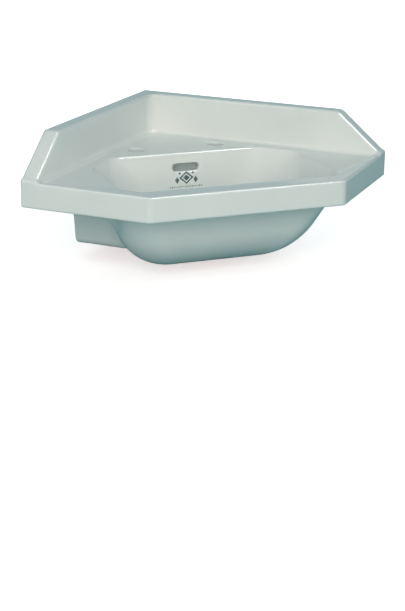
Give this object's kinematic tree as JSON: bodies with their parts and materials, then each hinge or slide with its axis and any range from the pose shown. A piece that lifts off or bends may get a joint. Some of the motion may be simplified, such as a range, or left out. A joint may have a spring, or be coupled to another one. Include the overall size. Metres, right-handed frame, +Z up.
{
  "type": "corner wash basin",
  "caption": "Wall-hung faceted ceramic corner basin with raised upstands, apron, tap holes, overflow slot, rear fixing skirt and a slotted click waste.",
  "frame": {"origin": "the corner of the room, where the two wall faces meet, at the level of the rim", "axes": "+Z up; +Y back into the corner of the room, so the front edge is at -Y; +X to the right for a person who stands in front and faces the corner"},
  "size_m": [0.6392, 0.4752, 0.2345],
  "materials": {
    "ceramic": "glossy white glaze",
    "nylon": "natural nylon",
    "chrome": "polished plate on brass",
    "chrome_cap": "polished plate on brass",
    "rubber": "matt moulded rubber",
    "seal_rubber": "smooth moulded rubber",
    "brass": "turned brass",
    "acetal": "white acetal",
    "spring_steel": "drawn stainless wire",
    "stem_steel": "turned stainless rod"
  },
  "bodies": {
    "basin": {"basin": "ceramic", "fixing_bush_left": "nylon", "fixing_bush_right": "nylon", "waste_body": "chrome", "flange_gasket": "rubber", "rubber_washer": "rubber", "slip_washer": "nylon", "backnut": "brass", "click_cartridge": "acetal", "click_spring": "spring_steel"},
    "plug": {"plug_stem": "stem_steel", "plug_cap": "chrome_cap", "plug_seal": "seal_rubber"}
  },
  "joints": [
    {"name": "plug_click", "type": "slide", "parent": "basin", "child": "plug", "axis": [0, 0, 1], "range_m": [-0.008, 0], "deforming": ["click_spring"]}
  ]
}
